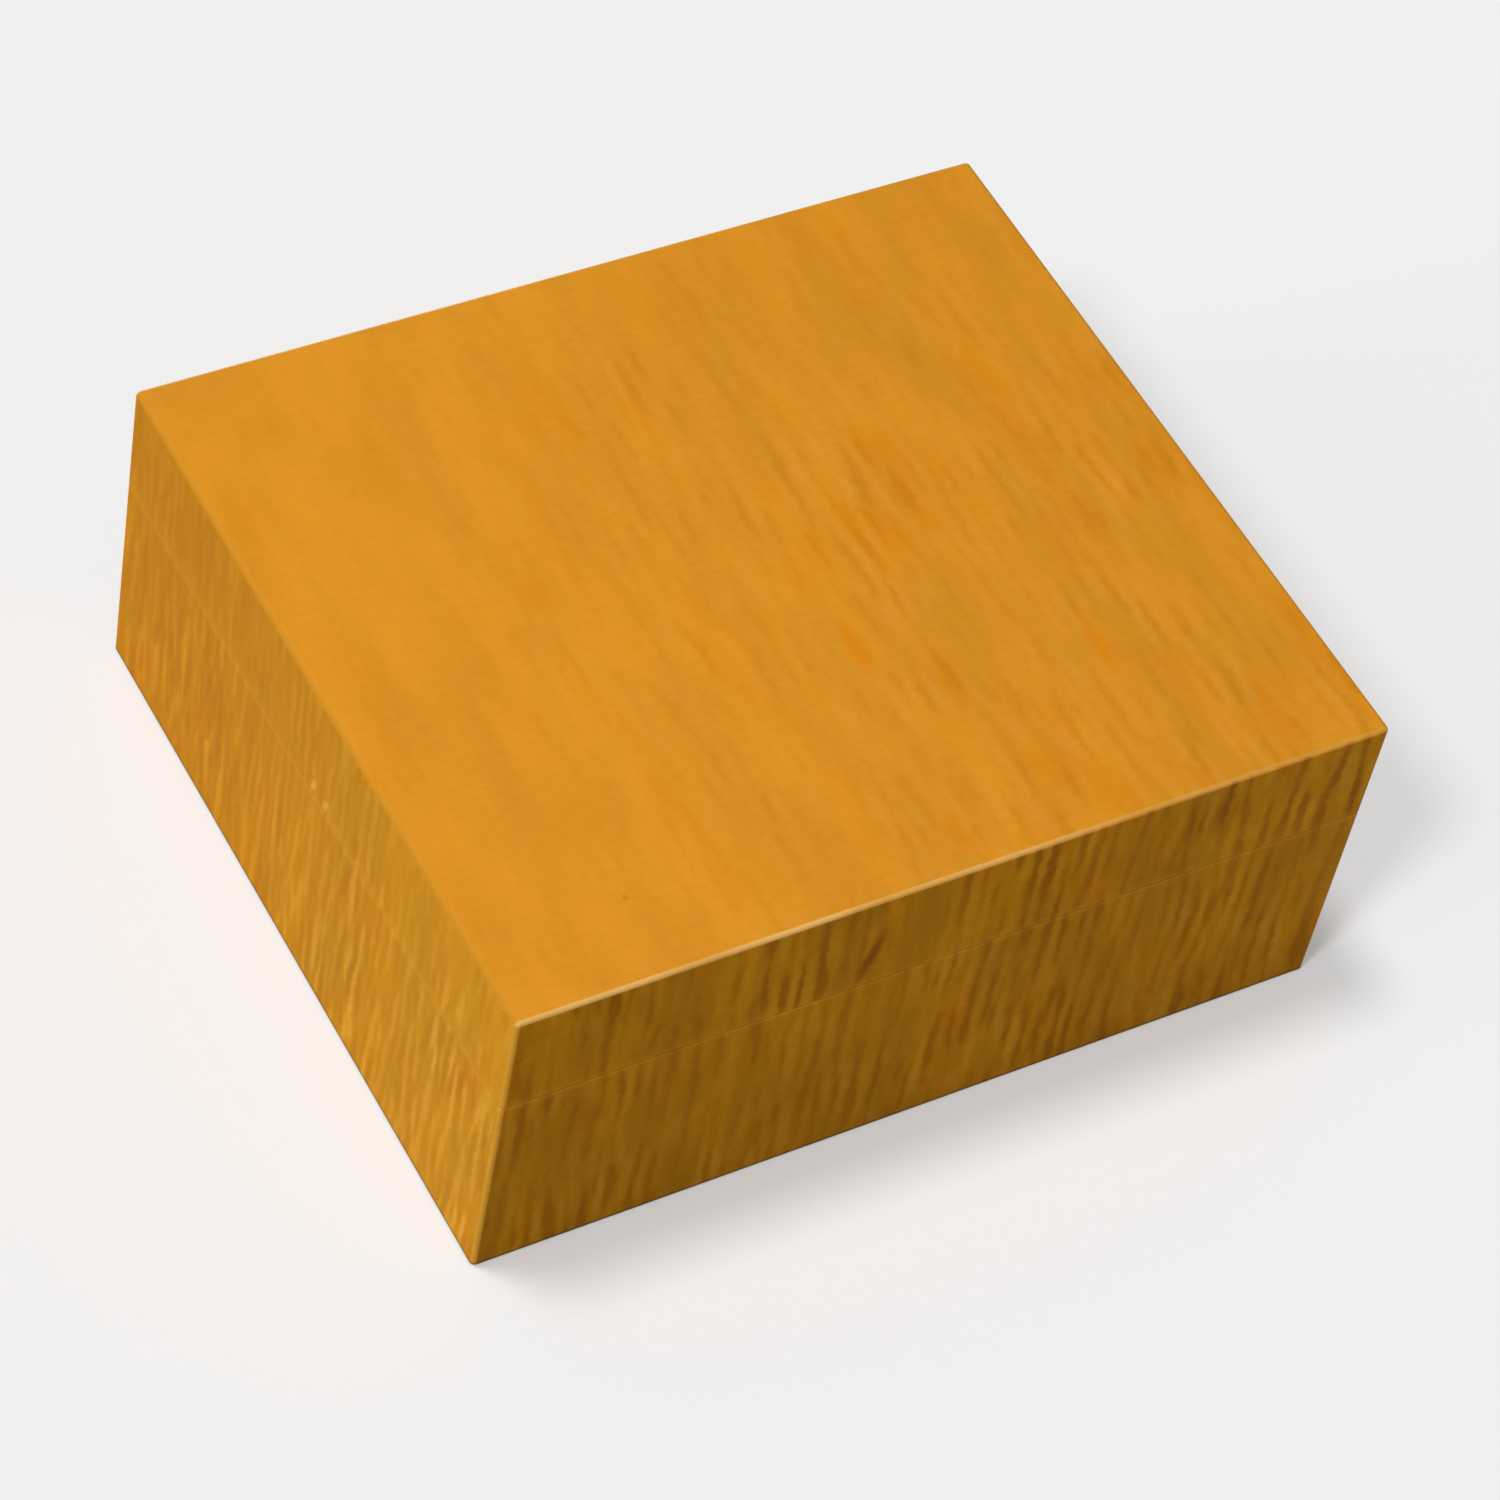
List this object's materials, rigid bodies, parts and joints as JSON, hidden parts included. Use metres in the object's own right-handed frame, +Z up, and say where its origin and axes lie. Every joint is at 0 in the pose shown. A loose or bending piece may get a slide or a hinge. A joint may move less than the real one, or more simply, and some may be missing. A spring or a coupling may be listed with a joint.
{
  "type": "wooden puzzle box",
  "caption": "Plain mitred box of rippled honey-coloured wood; a hidden spin lock of sliding pins holds its lift-off lid.",
  "frame": {"origin": "middle of the underside, on the surface that the box stands on", "axes": "+X along the long front to its right-hand end, +Y from the front to the back, +Z up"},
  "size_m": [0.16, 0.14, 0.0645],
  "materials": {
    "rippled_wood": "satin oil",
    "liner_wood": "waxed, straight grained",
    "spline_wood": "sawn",
    "lock_brass": "turned",
    "pin_steel": "turned"
  },
  "bodies": {
    "base": {"base_front_wall": "rippled_wood", "base_right_wall": "rippled_wood", "base_back_wall": "rippled_wood", "base_left_wall": "rippled_wood", "floor_panel": "liner_wood", "liner_front": "liner_wood", "liner_right": "liner_wood", "liner_back": "liner_wood", "liner_left": "liner_wood", "keeper_front": "lock_brass", "keeper_right": "lock_brass", "keeper_back": "lock_brass", "keeper_left": "lock_brass", "base_spline_front_left": "spline_wood", "base_spline_front_right": "spline_wood", "base_spline_back_right": "spline_wood", "base_spline_back_left": "spline_wood"},
    "lid": {"lid_top": "rippled_wood", "lid_front_wall": "rippled_wood", "lid_right_wall": "rippled_wood", "lid_back_wall": "rippled_wood", "lid_left_wall": "rippled_wood", "pin_bush_front": "lock_brass", "pin_bush_right": "lock_brass", "pin_bush_back": "lock_brass", "pin_bush_left": "lock_brass", "lid_spline_front_left": "spline_wood", "lid_spline_front_right": "spline_wood", "lid_spline_back_right": "spline_wood", "lid_spline_back_left": "spline_wood"},
    "front_pin": {"lock_pin_front": "pin_steel"},
    "right_pin": {"lock_pin_right": "pin_steel"},
    "back_pin": {"lock_pin_back": "pin_steel"},
    "left_pin": {"lock_pin_left": "pin_steel"}
  },
  "joints": [
    {"name": "lid_lift", "type": "slide", "parent": "base", "child": "lid", "axis": [0, 0, 1], "range_m": [0, 0.08]},
    {"name": "front_pin_slide", "type": "slide", "parent": "lid", "child": "front_pin", "axis": [0, 1, 0], "range_m": [0, 0.0032]},
    {"name": "right_pin_slide", "type": "slide", "parent": "lid", "child": "right_pin", "axis": [-1, 0, 0], "range_m": [0, 0.0032]},
    {"name": "back_pin_slide", "type": "slide", "parent": "lid", "child": "back_pin", "axis": [0, -1, 0], "range_m": [0, 0.0032]},
    {"name": "left_pin_slide", "type": "slide", "parent": "lid", "child": "left_pin", "axis": [1, 0, 0], "range_m": [0, 0.0032]}
  ]
}
